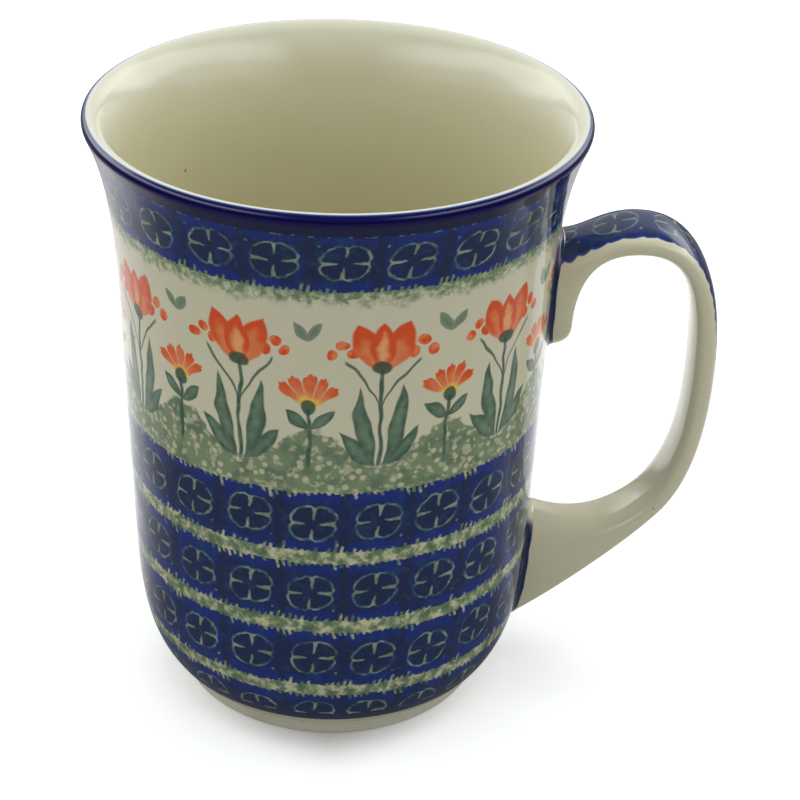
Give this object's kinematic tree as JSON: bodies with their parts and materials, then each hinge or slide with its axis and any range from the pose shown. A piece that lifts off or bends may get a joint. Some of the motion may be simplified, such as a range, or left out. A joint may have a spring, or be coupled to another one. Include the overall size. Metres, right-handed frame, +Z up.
{
  "type": "stoneware mug",
  "caption": "Tall stoneware drinking mug with a flared lip, a round belly on a bare foot ring and a strap handle luted to the wall, glazed inside and out over a sponge-stamped pattern.",
  "frame": {"origin": "on the table under the middle of the mug's overall length, so the cup's own axis lies at X = -14.5 mm, Y = 0", "axes": "+Z up along the cup's axis, +X towards the handle, +Y across the handle"},
  "size_m": [0.129, 0.1, 0.1286],
  "materials": {
    "bare_stoneware": "bare fired clay, matt",
    "handle_stoneware": "fired clay under glaze",
    "luting_slip": "fired slip under glaze",
    "painted_glaze": "clear gloss glaze over cobalt, green and orange sponge stamps on cream",
    "handle_glaze": "clear gloss glaze, cobalt stamps along the outer face",
    "base_glaze": "clear gloss glaze"
  },
  "bodies": {
    "root": {"cup_body": "bare_stoneware", "handle": "handle_stoneware", "upper_slip_joint": "luting_slip", "lower_slip_joint": "luting_slip", "cup_glaze": "painted_glaze", "handle_glaze": "handle_glaze", "base_glaze": "base_glaze"}
  },
  "joints": []
}
